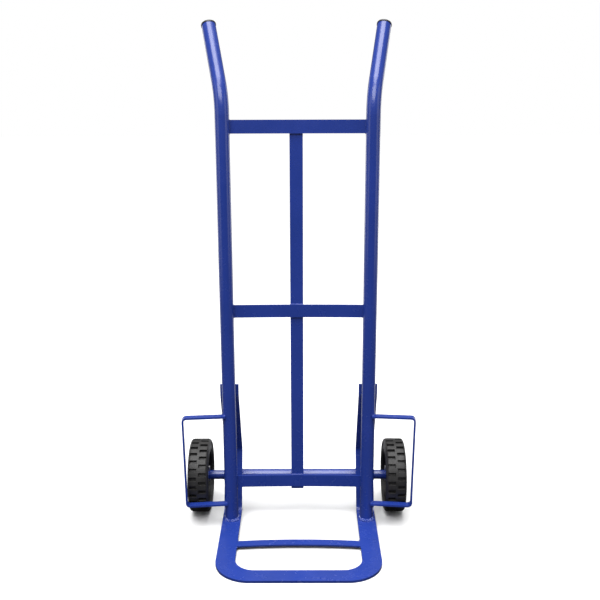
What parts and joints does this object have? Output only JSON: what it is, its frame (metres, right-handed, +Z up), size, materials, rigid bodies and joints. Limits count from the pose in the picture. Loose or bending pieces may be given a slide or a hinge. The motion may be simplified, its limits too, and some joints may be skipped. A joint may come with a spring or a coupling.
{
  "type": "hand truck",
  "caption": "Upright two-wheeled hand truck with an open flat-bar toe loop, bent tube handles, flat cross bars, rear braces, wheel guards and solid rubber wheels.",
  "frame": {"origin": "on the floor at the middle of the truck's footprint, which runs from the toe loop's front edge to the backs of the wheels", "axes": "+X to the right seen from the front, +Y to the back where the wheels are, +Z up along the side tubes"},
  "size_m": [0.6104, 0.4886, 1.2999],
  "materials": {
    "blue_paint": "gloss blue enamel on welded steel",
    "plug_plastic": "black moulded plastic",
    "zinc_steel": "zinc-plated steel",
    "tyre_rubber": "black solid rubber with a block tread",
    "rim_plastic": "black moulded plastic",
    "bush_plastic": "plain nylon"
  },
  "bodies": {
    "frame": {"side_tube_left": "blue_paint", "side_tube_right": "blue_paint", "top_cross_bar": "blue_paint", "middle_cross_bar": "blue_paint", "lower_cross_bar": "blue_paint", "centre_strap": "blue_paint", "toe_loop": "blue_paint", "toe_cross_strip": "blue_paint", "rear_brace_left": "blue_paint", "rear_brace_right": "blue_paint", "wheel_guard_left": "blue_paint", "wheel_guard_right": "blue_paint", "axle": "blue_paint", "axle_sleeve": "blue_paint", "handle_plug_left": "plug_plastic", "handle_plug_right": "plug_plastic", "wheel_washers": "zinc_steel", "split_pins": "zinc_steel"},
    "left_wheel": {"tyre_left": "tyre_rubber", "rim_left": "rim_plastic", "wheel_bush_left_inner": "bush_plastic", "wheel_bush_left_outer": "bush_plastic"},
    "right_wheel": {"tyre_right": "tyre_rubber", "rim_right": "rim_plastic", "wheel_bush_right_inner": "bush_plastic", "wheel_bush_right_outer": "bush_plastic"}
  },
  "joints": [
    {"name": "left_wheel_spin", "type": "hinge", "parent": "frame", "child": "left_wheel", "pos_m": [-0.2725, 0.14429, 0.1], "axis": [1, 0, 0], "continuous": true},
    {"name": "right_wheel_spin", "type": "hinge", "parent": "frame", "child": "right_wheel", "pos_m": [0.2625, 0.14429, 0.1], "axis": [1, 0, 0], "continuous": true}
  ]
}
